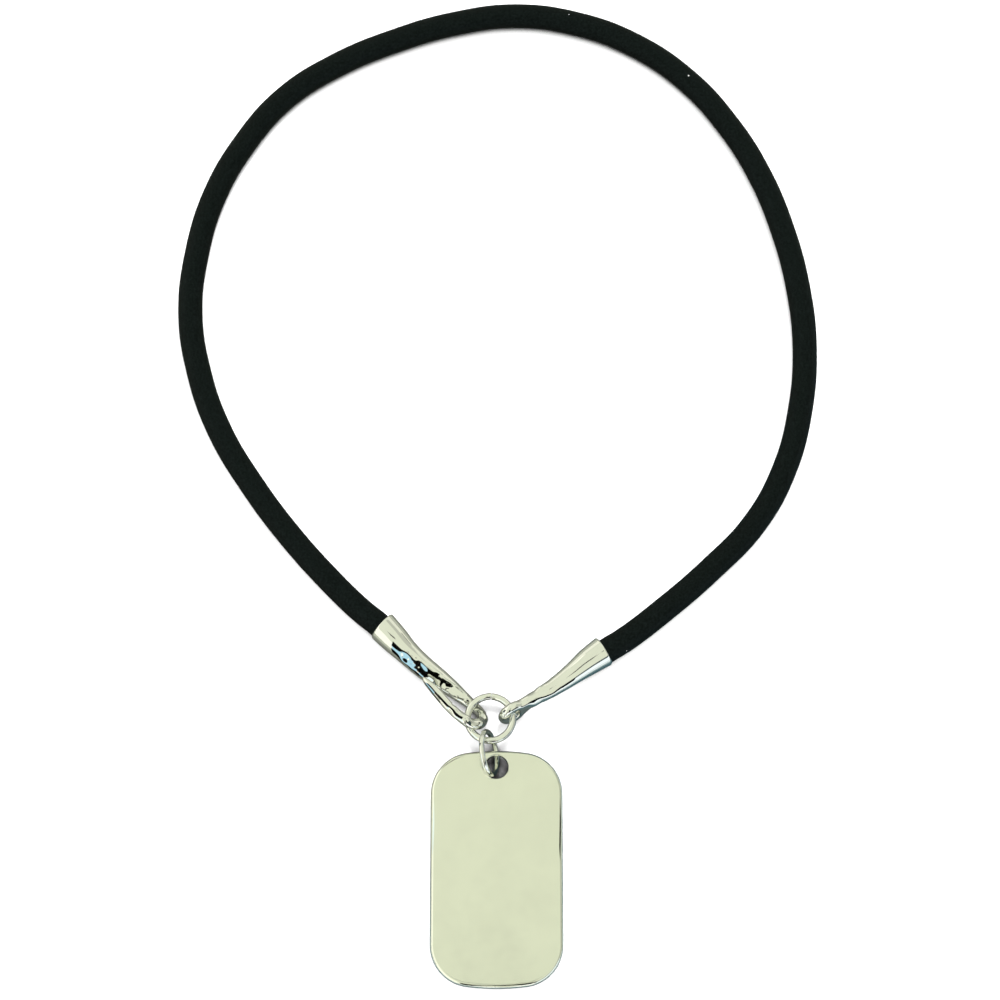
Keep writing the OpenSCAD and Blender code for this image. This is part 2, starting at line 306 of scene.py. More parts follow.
white_sheet, tree = empty_material("white sheet")
in_gloss = node(tree, "LightPath").outputs["Is Glossy Ray"]
cover = node(tree, "AmbientOcclusion", {"Distance": shade_reach}, samples=32)
openness = node(tree, "MapRange", {"Value": cover.outputs["AO"], "From Min": 0.95, "From Max": 1.0})
where = node(tree, "TexCoord").outputs["Object"]
turned = node(tree, "Mapping", {"Vector": where, "Rotation": (0, 0, side_turn)})
side = node(tree, "SeparateXYZ", {"Vector": turned.outputs["Vector"]}).outputs["X"]
coolness = node(tree, "MapRange", {"Value": side, "From Min": side_from, "From Max": side_to})
open_tone = blend(tree, coolness.outputs["Result"], warm_in_gloss, cool_in_gloss)
shade_tone = blend(tree, coolness.outputs["Result"], warm_shade_in_gloss, cool_shade_in_gloss)
mirrored_tone = blend(tree, openness.outputs["Result"], shade_tone, open_tone)
roof = node(tree, "AmbientOcclusion", {"Distance": roof_reach}, samples=16)
shelter = node(tree, "MapRange", {"Value": roof.outputs["AO"], "From Min": 0.30, "From Max": 0.48})
seen_tone = blend(tree, shelter.outputs["Result"], painted_roof_shade, sheet_white)
seen_paper = node(tree, "BsdfDiffuse", {"Color": seen_tone})
mirrored_paper = node(tree, "BsdfDiffuse", {"Color": mirrored_tone})
paper = node(tree, "MixShader", {0: in_gloss, 1: seen_paper.outputs[0], 2: mirrored_paper.outputs[0]})
node(tree, "OutputMaterial", {"Surface": paper.outputs[0]})
floor.data.materials.append(white_sheet)
print("white sheet, mirrored as", cool_in_gloss[:3])

# %% [markdown]
# ## Ceiling and horizon
# The world around the sheet has three faces. Gloss sees pale green-grey walls that grow lighter
# towards the ceiling, which is what the flat tag mirrors. Diffuse surfaces are lit by a tent: a bright
# band at half height that leaves the horizon and the zenith dim, so that shadows stay faint. The
# camera sees plain white behind everything. The places on both ramps are shares of the way up.

# %% Ceiling and horizon
ceiling = (0.83, 0.86, 0.70, 1)
mid_wall = (0.72, 0.75, 0.62, 1)
low_wall = (0.50, 0.50, 0.45, 1)
WALLS = [(0.02, low_wall), (0.30, mid_wall), (0.62, ceiling)]
TENT = [(0.10, 0.10), (0.30, 1.0), (0.72, 1.0), (0.95, 0.12)]
tent_light = 3.3
seen_white = 1.05

world = bpy.data.worlds.new("studio")
bpy.context.scene.world = world
world.use_nodes = True
tree = world.node_tree
tree.nodes.clear()
where = node(tree, "TexCoord")
height = node(tree, "SeparateXYZ", {"Vector": where.outputs["Generated"]}).outputs["Z"]
walls = ramp(tree, height, WALLS)
tent = ramp(tree, height, [(place, (grey, grey, grey, 1)) for place, grey in TENT])
mirrored = node(tree, "Background", {"Color": walls, "Strength": 1.0}).outputs[0]
lit = node(tree, "Background", {"Color": tent, "Strength": tent_light}).outputs[0]
plain_white = node(tree, "Background", {"Color": (1, 1, 1, 1), "Strength": seen_white}).outputs[0]
ray = node(tree, "LightPath").outputs
unseen = node(tree, "MixShader", {0: ray["Is Diffuse Ray"], 1: mirrored, 2: lit}).outputs[0]
studio = node(tree, "MixShader", {0: ray["Is Camera Ray"], 1: unseen, 2: plain_white}).outputs[0]
node(tree, "OutputWorld", {"Surface": studio})
print("ceiling", ceiling[:3])

# %% [markdown]
# ## Key light
# One soft square light stands high behind the cord. It draws the faint shadows on the sheet. The metal
# doesn't mirror it, because there the cards do its work.

# %% Key light
key_distance = 1.1
key_size = 0.20
key_power = 7.0


def around(azimuth, elevation, distance):
    """A place around the clasp. Azimuth 0 is the tag's side and 90 the right, both in degrees."""
    turn, rise = math.radians(azimuth), math.radians(elevation)
    level = distance * math.cos(rise)
    return Vector((math.sin(turn) * level, -math.cos(turn) * level, distance * math.sin(rise)))


def facing_back(place):
    """How a light or a card at a place is turned to face the middle."""
    return place.to_track_quat("Z", "Y").to_euler()


key_place = around(165, 62, key_distance)
bpy.ops.object.select_all(action="DESELECT")
bpy.ops.object.light_add(type="AREA", location=key_place, rotation=facing_back(key_place))
key = bpy.context.object
key.name = "key light"
key.data.shape = "SQUARE"
key.data.size = key_size
key.data.energy = key_power
key.visible_glossy = False
print("key light at", [round(v, 2) for v in key.location])

# %% [markdown]
# ## Cards
# What polished steel shows is mostly cards: white and blue ones for windows, black ones for the camera
# and whoever holds it. They are seen only in gloss, so they neither shade the floor nor stand in any
# view's way. Most stand a metre off, and every piece mirrors them. A few small ones stand close to
# one point of a cap, as the little flags on a jewellery table do, so that this stretch alone turns
# black or blue. Each card is as many degrees wide and high as it looks from the point that it faces.

# %% Card
card_distance = 1.0
card_step = 0.01
cards = []


def card(name, azimuth, elevation, width, height, colour, strength, aim=Vector(), reach=card_distance):
    """A card that faces a point, seen only in gloss, and a little nearer than the card before it."""
    cards.append(name)
    place = around(azimuth, elevation, reach * (1 - card_step * len(cards)))
    bpy.ops.object.select_all(action="DESELECT")
    bpy.ops.mesh.primitive_plane_add(size=1, location=aim + place, rotation=facing_back(place))
    made = bpy.context.object
    made.name = name
    made.scale = (
        2 * reach * math.tan(math.radians(width / 2)),
        2 * reach * math.tan(math.radians(height / 2)),
        1,
    )
    finish, tree = empty_material(name)
    glow = node(tree, "Emission", {"Color": (*colour, 1), "Strength": strength})
    node(tree, "OutputMaterial", {"Surface": glow.outputs[0]})
    made.data.materials.append(finish)
    made.visible_camera = False
    made.visible_shadow = False
    made.visible_diffuse = False


print("a far card stands", card_distance, "m away")

# %% Far cards
BLACK = (0.0, 0.0, 0.0)
WHITE = (1.0, 1.0, 1.0)
FAR_CARDS = [
    # name, azimuth, elevation, width, height, colour, strength
    ("window left", -78, 29, 110, 54, (1.0, 1.0, 0.88), 1.2),
    ("window right", 42, 11, 64, 28, (0.88, 0.96, 1.0), 1.2),
    ("window bar right", 42, 31, 60, 10, (0.03, 0.05, 0.06), 1.0),
    ("window back left", -146, 12, 30, 28, (0.98, 0.98, 0.84), 1.0),
    ("window back right", 141, 12, 30, 28, (0.88, 0.89, 0.76), 1.0),
    ("wall right", 104, 30, 60, 44, (0.56, 0.58, 0.48), 1.0),
    ("camera", -2, 85, 10, 5, BLACK, 0.0),
    ("dark front high", 8, 52, 12, 24, BLACK, 0.0),
    ("dark front left", -11, 24, 12, 36, BLACK, 0.0),
    ("dark front right", 15, 24, 14, 36, BLACK, 0.0),
    ("white panel", 13, 12, 14, 16, WHITE, 1.5),
    ("white panel left", -3, 7, 6, 12, WHITE, 1.5),
    ("dark bar low west", -92, 14, 50, 4, BLACK, 0.0),
    ("dark bar low east", 104, 20, 56, 5, BLACK, 0.0),
]
for row in FAR_CARDS:
    card(*row)
print(len(cards), "far cards")

# %% Near cards
near = 0.018
less_near = 0.045
hook_third = placed((0.33 * hook_length, 0, rim_r), hook_start, hook_dir)
hook_middle = placed((0.45 * hook_length, 0, rim_r), hook_start, hook_dir)
hook_slot = placed((0.68 * hook_length, 0, rim_r), hook_start, hook_dir)
eye_neck = placed((0.80 * eye_length, 0, rim_r), eye_start, eye_dir)
NEAR_CARDS = [
    # name, azimuth, elevation, width, height, colour, strength, point that it faces, distance
    ("near blue", -38, 28, 24, 26, (0.42, 0.68, 0.82), 1.2, hook_third, near),
    ("near dark", -45, 44, 34, 26, BLACK, 0.0, hook_middle, near),
    ("near dark low", -45, 0, 36, 22, BLACK, 0.0, hook_middle, near),
    ("near dark front", -24, 54, 32, 26, BLACK, 0.0, hook_slot, near),
    ("near white front", -28, 26, 16, 30, (0.84, 0.93, 0.93), 1.2, hook_slot, less_near),
    ("near dark right", 38, 22, 24, 16, BLACK, 0.0, eye_neck, less_near),
]
for row in NEAR_CARDS:
    card(*row)
print(len(cards), "cards in all")

# %% [markdown]
# ## Picking in edit mode
# An operator works on whatever is selected. By hand one clicks a rim or a face, and in a script the
# same rim is found by where it is. One small helper does this for all the pieces.

# %% Picking in edit mode
SELECT_MODES = {"verts": "VERT", "edges": "EDGE", "faces": "FACE"}


def pick(kind, wanted):
    """Selects only those vertices, edges or faces of the piece in edit mode that pass a test."""
    bpy.ops.mesh.select_all(action="DESELECT")
    bpy.ops.mesh.select_mode(type=SELECT_MODES[kind])
    mesh = bmesh.from_edit_mesh(bpy.context.object.data)
    found = [part for part in getattr(mesh, kind) if wanted(part)]
    for part in found:
        part.select_set(True)
    mesh.select_flush_mode()
    bmesh.update_edit_mesh(bpy.context.object.data)
    return len(found)


def apply_modifiers(piece):
    """Makes a piece's modifiers part of its mesh, in their order."""
    for modifier in list(piece.modifiers):
        bpy.ops.object.modifier_apply(modifier=modifier.name)


def dress(piece, replaced, finish):
    """A finished piece stands for its CAD node, rides with it and wears its finish."""
    piece.data.materials.clear()
    piece.data.materials.append(finish)
    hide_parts(replaced)
    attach(piece, "root")


print("pieces are picked as", ", ".join(SELECT_MODES))

# %% [markdown]
# ## Tag
# A dog tag is blanked from 2 mm steel sheet and tumbled until its edge is round. Its ends are not half
# circles: two corners of 8.8 mm meet a flat arch of 50 mm. A quarter of that outline is drawn by
# spinning one point round the corner's and the arch's middle, and two mirrors make the whole. Then the
# face is filled, raised to its thickness and its edge rounded by a bevel, as tumbling rounds it. Run
# from a script, the spin operator goes clockwise about +Z, so here its axis points down.

# %% Sizes of the tag
tag_width = 0.028
tag_length = 0.050
tag_thickness = 0.002
tag_corner_r = 0.0088
tag_end_r = 0.050
tag_edge_r = 0.0009
hole_r = 0.0025
hole_inset = 0.0035
hole_bevel = 0.0003
print("tag", tag_width * 1000, "by", tag_length * 1000, "mm")

# %% Outline of the tag
corner_in = tag_width / 2 - tag_corner_r
corner_turn = math.pi / 2 - math.asin(corner_in / (tag_end_r - tag_corner_r))
arch_mid_y = tag_length / 2 - tag_end_r
corner_mid = (corner_in, arch_mid_y + (tag_end_r - tag_corner_r) * math.sin(corner_turn), 0)
AGAINST_CLOCK = (0, 0, -1)
corner_steps, arch_steps = 28, 12

bpy.ops.object.select_all(action="DESELECT")
bpy.ops.mesh.primitive_plane_add(size=0.001)
tag = bpy.context.object
tag.name = "tag_visible"
bpy.ops.object.mode_set(mode="EDIT")
bpy.ops.mesh.merge(type="CENTER")
bpy.ops.transform.translate(value=(tag_width / 2, 0, 0))
bpy.ops.mesh.extrude_region_move(TRANSFORM_OT_translate={"value": (0, corner_mid[1], 0)})
for steps, angle, center in (
    (corner_steps, corner_turn, corner_mid),
    (arch_steps, math.pi / 2 - corner_turn, (0, arch_mid_y, 0)),
):
    bpy.ops.mesh.spin(steps=steps, angle=angle, center=center, axis=AGAINST_CLOCK)
bpy.ops.object.mode_set(mode="OBJECT")
bpy.ops.object.modifier_add(type="MIRROR")
tag.modifiers[0].use_axis = (True, True, False)
tag.modifiers[0].merge_threshold = 0.00001
apply_modifiers(tag)
print("outline", len(tag.data.vertices), "points")

# %% Plate of the tag
bpy.ops.object.mode_set(mode="EDIT")
bpy.ops.mesh.select_all(action="SELECT")
bpy.ops.mesh.edge_face_add()
bpy.ops.mesh.extrude_region_move(TRANSFORM_OT_translate={"value": (0, 0, tag_thickness)})
bpy.ops.mesh.select_all(action="SELECT")
bpy.ops.mesh.normals_make_consistent(inside=False)


def on_a_face(edge):
    """Is the edge on the outline of the tag's lower or upper face?"""
    return abs(edge.verts[0].co.z - edge.verts[1].co.z) < tag_thickness / 2


edges_round = pick("edges", on_a_face)
bpy.ops.mesh.bevel(offset=tag_edge_r, segments=12, profile=0.5)
bpy.ops.object.mode_set(mode="OBJECT")
print("rounded", edges_round, "edges")

# %% [markdown]
# ## Hole of the tag
# The hole is punched and its lips are rounded, which gives the bright ring around it. A cutter with the
# shape of the wanted hole is raised ring by ring from a disc: wide below, straight through the plate,
# wide again above. A Boolean takes it out of the plate.

# %% Hole of the tag
hole_y = tag_length / 2 - hole_inset
HOLE_SIDES, LIP_STEPS = 96, 6


def lip(turn):
    """The radius and the depth below the face where a lip has turned from level to upright."""
    radius = hole_r + hole_bevel * (1 - math.sin(turn))
    depth = hole_bevel * (1 - math.cos(turn))
    return radius, depth


lips = [lip(math.pi / 2 * step / LIP_STEPS) for step in range(LIP_STEPS + 1)]
cut_rings = [(lips[0][0], -hole_bevel)]
cut_rings += [(radius, depth) for radius, depth in lips]
cut_rings += [(radius, tag_thickness - depth) for radius, depth in reversed(lips)]
cut_rings += [(lips[0][0], tag_thickness + hole_bevel)]

bpy.ops.object.select_all(action="DESELECT")
bpy.ops.mesh.primitive_circle_add(
    vertices=HOLE_SIDES,
    radius=cut_rings[0][0],
    fill_type="NGON",
    location=(0, hole_y, cut_rings[0][1]),
)
cutter = bpy.context.object
bpy.ops.object.transform_apply()
bpy.ops.object.mode_set(mode="EDIT")
for (old_r, old_z), (new_r, new_z) in zip(cut_rings, cut_rings[1:]):
    bpy.ops.mesh.extrude_region_move(TRANSFORM_OT_translate={"value": (0, 0, new_z - old_z)})
    ratio = new_r / old_r
    bpy.ops.transform.resize(value=(ratio, ratio, 1), center_override=(0, hole_y, new_z))
bpy.ops.mesh.select_all(action="SELECT")
bpy.ops.mesh.normals_make_consistent(inside=False)
bpy.ops.object.mode_set(mode="OBJECT")

bpy.ops.object.select_all(action="DESELECT")
tag.select_set(True)
bpy.context.view_layer.objects.active = tag
bpy.ops.object.modifier_add(type="BOOLEAN")
tag.modifiers[0].operation = "DIFFERENCE"
tag.modifiers[0].solver = "EXACT"
tag.modifiers[0].object = cutter
apply_modifiers(tag)
bpy.data.objects.remove(cutter)
bpy.ops.object.shade_smooth()
bpy.ops.object.modifier_add(type="WEIGHTED_NORMAL")
tag.modifiers[0].keep_sharp = False
apply_modifiers(tag)
print("tag", len(tag.data.polygons), "faces")

# %% [markdown]
# ## Lay the tag down
# The jump ring passes under the tag's hole, so the tag lies on its lower end and on that ring. The
# frame gives the tag's box, and how much higher the box is than the plate gives the tilt.

# %% Lay the tag down
tag_low, tag_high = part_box("tag")
tag_rise = tag_high.z - tag_low.z - tag_thickness
tag_tilt = math.asin(tag_rise / (tag_length - tag_edge_r))
tag.rotation_euler = (tag_tilt, 0, 0)
tag.location = (
    (tag_low.x + tag_high.x) / 2,
    tag_low.y + tag_length / 2 * math.cos(tag_tilt),
    tag_length / 2 * math.sin(tag_tilt),
)
bpy.ops.object.transform_apply()
print("tag tilted", round(math.degrees(tag_tilt), 2), "degrees")

# %% [markdown]
# ## Rings
# Both rings are bent from round wire, so each is one disc of the wire's size spun round the ring's
# middle. The clasp ring's two ends meet in an open butt joint, and one end stands a little out, as on
# a ring that was closed with pliers. The jump ring is soldered shut, with a fine seam. A ring is made
# flat about Z with its joint at +X, and then turned about its own middle into its place.

# %% Wire rings
WIRE_SIDES, RING_STEPS = 32, 120
cut_round = 0.12
spread_reach = math.radians(14)


def on_cut_end(edge):
    """Is the edge on the rim of one of the wire's two cut ends, the only faces with many corners?"""
    return any(len(face.verts) > 4 for face in edge.link_faces)


def wire_ring(name, ring_radius, wire_radius, joint, spread):
    """A ring of wire about Z with an open joint at +X. One end stands out by the spread."""
    half_joint = joint / 2 / ring_radius
    bpy.ops.object.select_all(action="DESELECT")
    bpy.ops.mesh.primitive_circle_add(
        vertices=WIRE_SIDES,
        radius=wire_radius,
        fill_type="NGON",
        location=(ring_radius, 0, 0),
        rotation=(math.pi / 2, 0, 0),
    )
    ring = bpy.context.object
    ring.name = name
    bpy.ops.object.transform_apply()
    bpy.ops.object.mode_set(mode="EDIT")
    whole_way = 2 * math.pi - 2 * half_joint
    bpy.ops.mesh.spin(steps=RING_STEPS, angle=whole_way, center=(0, 0, 0), axis=AGAINST_CLOCK)
    bpy.ops.mesh.select_all(action="SELECT")
    bpy.ops.mesh.normals_make_consistent(inside=False)
    pick("edges", on_cut_end)
    bpy.ops.mesh.bevel(offset=wire_radius * cut_round, segments=3, profile=0.5)
    bpy.ops.object.mode_set(mode="OBJECT")
    for point in ring.data.vertices:
        angle = math.atan2(point.co.y, point.co.x)
        if 0 <= angle < spread_reach:
            point.co *= 1 + spread / ring_radius * (1 - angle / spread_reach) ** 2
    bpy.ops.object.shade_smooth_by_angle(angle=math.radians(40))
    ring.rotation_euler = (0, 0, half_joint)
    bpy.ops.object.transform_apply()
    return ring


def stand_ring(ring, middle, turns):
    """Turns a ring about its own middle, one turn after another, and puts it in place."""
    whole = Matrix.Identity(3)
    for axis, degrees in turns:
        whole = Matrix.Rotation(math.radians(degrees), 3, axis) @ whole
    ring.rotation_euler = whole.to_euler()
    ring.location = middle
    bpy.ops.object.transform_apply()


print("a ring is spun in", RING_STEPS, "steps")

# %% Clasp ring
ring_joint = 0.00006
ring_spread = 0.00012
ring_joint_dir = 87
ring_tilt = 3
clasp_ring = wire_ring("clasp_ring_visible", ring_r, ring_wire / 2, ring_joint, ring_spread)
stand_ring(clasp_ring, ring_mid, [("Z", ring_joint_dir), ("X", -ring_tilt)])
print("clasp ring", len(clasp_ring.data.polygons), "faces")

# %% Jump ring
jump_low, jump_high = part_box("jump_ring")
jump_wire = 0.00115
jump_r = 0.004525
jump_lean = 20
jump_turn = 5
jump_seam = 0.00002
jump_seam_dir = 60
jump_ring = wire_ring("jump_ring_visible", jump_r, jump_wire / 2, jump_seam, 0)
stand_ring(
    jump_ring,
    (jump_low + jump_high) / 2,
    [("Z", jump_seam_dir), ("Y", 90 - jump_lean), ("Z", jump_turn)],
)
print("jump ring", len(jump_ring.data.polygons), "faces")

# %% [markdown]
# ## Caps
# Both caps are cast and polished, so every change of section flows. The way is that of a loft: level
# circles are added one after another along a middle line, each one turned and flattened as the casting
# is there, and neighbours are bridged. Short tables give the growth along the cap as shares of its
# length, and a smooth curve runs through their rows. A subdivision surface then rounds it all. Points
# are picked for each bridge by their place: on the plane of a ring and on its oval.


# %% Loft helpers
def slope(rows, i, column):
    """How fast a column changes at a row of a table."""
    before, after = rows[max(i - 1, 0)], rows[min(i + 1, len(rows) - 1)]
    return (after[column] - before[column]) / (after[0] - before[0])


def along(rows, share, column):
    """The value of a column at a share of the length, on a smooth curve through the rows."""
    i = 0
    while i < len(rows) - 2 and share > rows[i + 1][0]:
        i += 1
    a, b = rows[i], rows[i + 1]
    span = b[0] - a[0]
    t = (share - a[0]) / span
    return (
        a[column] * (1 + 2 * t) * (1 - t) ** 2
        + b[column] * t**2 * (3 - 2 * t)
        + slope(rows, i, column) * span * t * (1 - t) ** 2
        - slope(rows, i + 1, column) * span * t**2 * (1 - t)
    )


def headings(middles):
    """The way that a line of points runs at each of them."""
    last = len(middles) - 1
    return [(middles[min(i + 1, last)] - middles[max(i - 1, 0)]).normalized() for i in range(last + 1)]


def section(middle, heading, side, half_width, half_height, sides):
    """An oval ring of points across a heading, with its width along the side."""
    across = (side - side.dot(heading) * heading).normalized()
    up = heading.cross(across)
    turned = Matrix((across, up, heading)).transposed().to_euler()
    bpy.ops.mesh.primitive_circle_add(vertices=sides, radius=1, location=middle, rotation=turned)
    ring = bpy.context.object
    ring.scale = (half_width, half_height, 1)
    bpy.ops.object.transform_apply()
    return ring


in_plane = 0.000001
on_oval = 0.002


def loft(name, sections, sides, close_end=True):
    """A skin through rings, given as (middle, heading, side, half width, half height)."""
    bpy.ops.object.select_all(action="DESELECT")
    rings = [section(*row, sides) for row in sections]
    for ring in rings:
        ring.select_set(True)
    bpy.context.view_layer.objects.active = rings[0]
    bpy.ops.object.join()
    piece = bpy.context.object
    piece.name = name
    bpy.ops.object.mode_set(mode="EDIT")

    def on_ring(point, row):
        """Does the point lie on this ring?"""
        middle, heading, side, half_width, half_height = row
        out = point.co - middle
        across = (side - side.dot(heading) * heading).normalized()
        oval = Vector((out.dot(across) / half_width, out.dot(heading.cross(across)) / half_height))
        return abs(out.dot(heading)) < in_plane and abs(oval.length - 1) < on_oval

    for row, next_row in zip(sections, sections[1:]):
        pick("verts", lambda point: on_ring(point, row) or on_ring(point, next_row))
        bpy.ops.mesh.bridge_edge_loops()
    closed_ends = [sections[0], sections[-1]] if close_end else [sections[0]]
    for row in closed_ends:
        pick("verts", lambda point: on_ring(point, row))
        bpy.ops.mesh.edge_face_add()
    return piece


print("a ring's points lie within", in_plane * 1e6, "micrometre of its plane")

# %% [markdown]
# ## Dents
# Small castings are polished by hand, and under the shine their skin stays uneven where the wheel
# can't reach well. Those soft dents break up what the metal mirrors. They are real shape, 0.2 to
# 0.35 mm deep, so a Displace modifier with a cloud texture makes them, not a bump in the finish. A
# vertex group says how much each point takes part, and the modifier is applied at once.

# %% Dents
dents = bpy.data.textures.new("casting dents", "CLOUDS")
dents.noise_scale = 0.0020
dents.noise_depth = 0


def dent(piece, wear, depth):
    """Presses soft dents into a piece, as strong at each point as its wear there, from 0 to 1."""
    group = piece.vertex_groups.new(name="worn")
    for point in piece.data.vertices:
        group.add([point.index], wear(point.co), "REPLACE")
    bpy.ops.object.modifier_add(type="DISPLACE")
    modifier = piece.modifiers[0]
    modifier.texture = dents
    modifier.texture_coords = "LOCAL"
    modifier.vertex_group = "worn"
    modifier.mid_level = 0.5
    modifier.strength = depth
    apply_modifiers(piece)


def fade(value, start, length):
    """0 up to a start and 1 from a length past it, with an even rise between."""
    return min(1, max(0, (value - start) / length))


print("dents about", dents.noise_scale * 1000, "mm across")

# %% [markdown]
# ## Socket
# The cord sits in a drilled socket: straight at its mouth, then tapered, with a thin wall whose lip is
# rounded. The rings of the socket come first in each loft, from its closed end out to the rim. A small
# ring in the closed end keeps the subdivision surface flat there.

# %% Socket
glue_gap = 0.00005
mouth_r = cord_r + glue_gap
mouth_depth = 0.001
lip_r = 0.00012
rim_round = 0.00030
rim_corner = 0.3 * rim_round


def socket_rows(start, direction):
    """The rings of a socket, from its closed end to its mouth."""
    heading = -toward(direction)
    side = toward(direction + math.pi / 2)
    rows = []
    for depth, radius in (
        (socket_depth, socket_end_r * 0.5),
        (socket_depth, socket_end_r),
        (mouth_depth, mouth_r),
        (lip_r, mouth_r),
        (0.0, mouth_r + lip_r / 2),
    ):
        rows.append((in_socket(start, direction, depth), heading, side, radius, radius))
    return rows


def rim_rows(start, direction):
    """The rings round the rim's rounded outer lip, from the mouth to the cap's body."""
    heading = toward(direction)
    side = toward(direction + math.pi / 2)
    rows = []
    for step, radius in (
        (0.0, rim_r - rim_round),
        (rim_corner, rim_r - rim_corner),
        (rim_round, rim_r),
    ):
        middle = placed((step, 0, rim_r), start, direction)
        rows.append((middle, heading, side, radius, radius))
    return rows


print("socket", 2 * mouth_r * 1000, "mm wide and", socket_depth * 1000, "mm deep")

# %% [markdown]
# ## Hook cap
# The hook cap tapers from the rim to a 2.2 mm shank, which bends back over itself in a plane that leans
# about halfway between flat and upright. The return arm flattens and narrows to a rounded tip. Its
# three stretches are three sets of rings in one loft. The tables give shares: of the length, the bow
# and the growth for the body, and of the length, both ways of the plane and both thicknesses for the
# arm.

# %% Hook cap
HOOK_BODY = [
    (0.00, 0.00, 1.00),
    (0.15, 0.45, 0.89),
    (0.30, 0.85, 0.68),
    (0.45, 1.00, 0.60),
    (0.60, 0.75, 0.52),
    (0.75, 0.35, 0.34),
    (0.88, 0.08, 0.12),
    (1.00, 0.00, 0.00),
]
HOOK_ARM = [
    (0.00, 1.00, 1.00, 1.00, 1.00),
    (0.25, 1.00, 1.00, 1.02, 0.96),
    (0.50, 0.91, 1.00, 1.00, 0.88),
    (0.75, 0.80, 0.96, 0.90, 0.74),
    (0.90, 0.75, 0.90, 0.64, 0.56),
    (0.97, 0.72, 0.87, 0.38, 0.36),
    (1.00, 0.70, 0.85, 0.10, 0.10),
]
BOW, GROWTH = 1, 2
ACROSS, UP, WIDTH, THICKNESS = 1, 2, 3, 4

hook_wire_r = 0.0011
hook_lift = 0.00025
hook_bow = 0.0008
hook_roll = math.radians(49)
hook_room = 0.0029
hook_gap = 2 * hook_wire_r + ring_wire + hook_room
hook_reach = hook_gap * math.cos(hook_roll)
hook_rise = hook_gap * math.sin(hook_roll)
arm_length = 0.0124
shank_z = hook_wire_r + hook_lift
HOOK_SIDES = 32
body_steps, bend_steps, arm_steps = 24, 14, 20


def hook_body_row(share):
    """Middle and radius of the tapering body, which lies along its lower side."""
    radius = hook_wire_r + (rim_r - hook_wire_r) * along(HOOK_BODY, share, GROWTH)
    bow = -hook_bow * along(HOOK_BODY, share, BOW)
    return (share * hook_length, bow, radius + hook_lift * share), radius, radius


def hook_bend_row(turn):
    """Middle and radius of the bend, where the wire has turned by an angle."""
    back = (1 - math.cos(turn)) / 2
    middle = (
        hook_length + hook_gap / 2 * math.sin(turn),
        -back * hook_reach,
        shank_z + back * hook_rise,
    )
    return middle, hook_wire_r, hook_wire_r


def hook_arm_row(share):
    """Middle and half sizes of the return arm."""
    middle = (
        hook_length - arm_length * share,
        -hook_reach * along(HOOK_ARM, share, ACROSS),
        shank_z + hook_rise * along(HOOK_ARM, share, UP),
    )
    return (
        middle,
        hook_wire_r * along(HOOK_ARM, share, WIDTH),
        hook_wire_r * along(HOOK_ARM, share, THICKNESS),
    )


hook_rows = [hook_body_row(step / body_steps) for step in range(1, body_steps)]
hook_rows += [hook_bend_row(math.pi * step / bend_steps) for step in range(bend_steps + 1)]
hook_rows += [hook_arm_row(math.sin(math.pi / 2 * step / arm_steps)) for step in range(1, arm_steps + 1)]
hook_middles = [placed(row[0], hook_start, hook_dir) for row in hook_rows]
hook_side = placed((0, math.sin(hook_roll), math.cos(hook_roll)), Vector(), hook_dir)
hook_sections = socket_rows(hook_socket, hook_socket_dir) + rim_rows(hook_start, hook_dir)
for row, middle, heading in zip(hook_rows, hook_middles, headings(hook_middles)):
    hook_sections.append((middle, heading, hook_side, row[1], row[2]))
hook_cap = loft("hook_cap_visible", hook_sections, HOOK_SIDES)
bpy.ops.mesh.select_all(action="SELECT")
bpy.ops.mesh.normals_make_consistent(inside=False)
bpy.ops.object.mode_set(mode="OBJECT")
print("hook cap's loft", len(hook_cap.data.vertices), "points")

# %% [markdown]
# ## Worn side of the hook cap
# From about a quarter of its length on, the hook cap was ground a little flat on its upper, tag side.
# The flat winds slowly round the shank. It is made on the plain loft, where each ring has few points:
# a point that stands out past the flat is pushed back onto it. Subdivision then softens its border,
# and dents are pressed into the same side and into the bend.

# %% Worn side of the hook cap
worn_start, worn_end = 0.27, 0.95
worn_fade = 0.1
worn_depth = 0.17
worn_turn, worn_turn_back = math.radians(52), math.radians(50)
body_reach = 1.1


def on_hook_body(spot):
    """The share along the cap, the step off its middle, the radius there and the worn side's way."""
    out = spot - hook_start
    place = out.dot(toward(hook_dir)) / hook_length
    middle, radius, _ = hook_body_row(min(max(place, 0), 1))
    off_middle = Vector((out.dot(toward(hook_dir + math.pi / 2)) - middle[1], spot.z - middle[2]))
    turn = worn_turn - worn_turn_back * place
    return place, off_middle, radius, Vector((-math.sin(turn), math.cos(turn)))


for point in hook_cap.data.vertices:
    place, off_middle, radius, worn_way = on_hook_body(point.co)
    ends = min(fade(place, worn_start, worn_fade), fade(-place, -worn_end, worn_fade))
    too_high = off_middle.dot(worn_way) - radius * (1 - worn_depth * ends)
    if ends > 0 and too_high > 0 and off_middle.length < body_reach * radius:
        side_step = -too_high * worn_way[0] * toward(hook_dir + math.pi / 2)
        point.co += side_step - Vector((0, 0, too_high * worn_way[1]))
bpy.ops.object.modifier_add(type="SUBSURF")
hook_cap.modifiers[0].levels = 2
hook_cap.modifiers[0].render_levels = 2
apply_modifiers(hook_cap)
print("hook cap", len(hook_cap.data.polygons), "faces")

# %% Dents of the hook cap
hook_dent = 0.0007
dent_fade = 0.08
facing_from, facing_fade = 0.70, 0.15
bend_from = 0.86


def hook_wear(spot):
    """How much the hook cap is dented at a point: fully on its worn side and round the bend."""
    place, off_middle, radius, worn_way = on_hook_body(spot)
    if off_middle.length >= body_reach * radius and place <= bend_from:
        return 0
    facing = off_middle.normalized().dot(worn_way)
    return fade(facing, facing_from, facing_fade) * fade(place, worn_start, dent_fade)


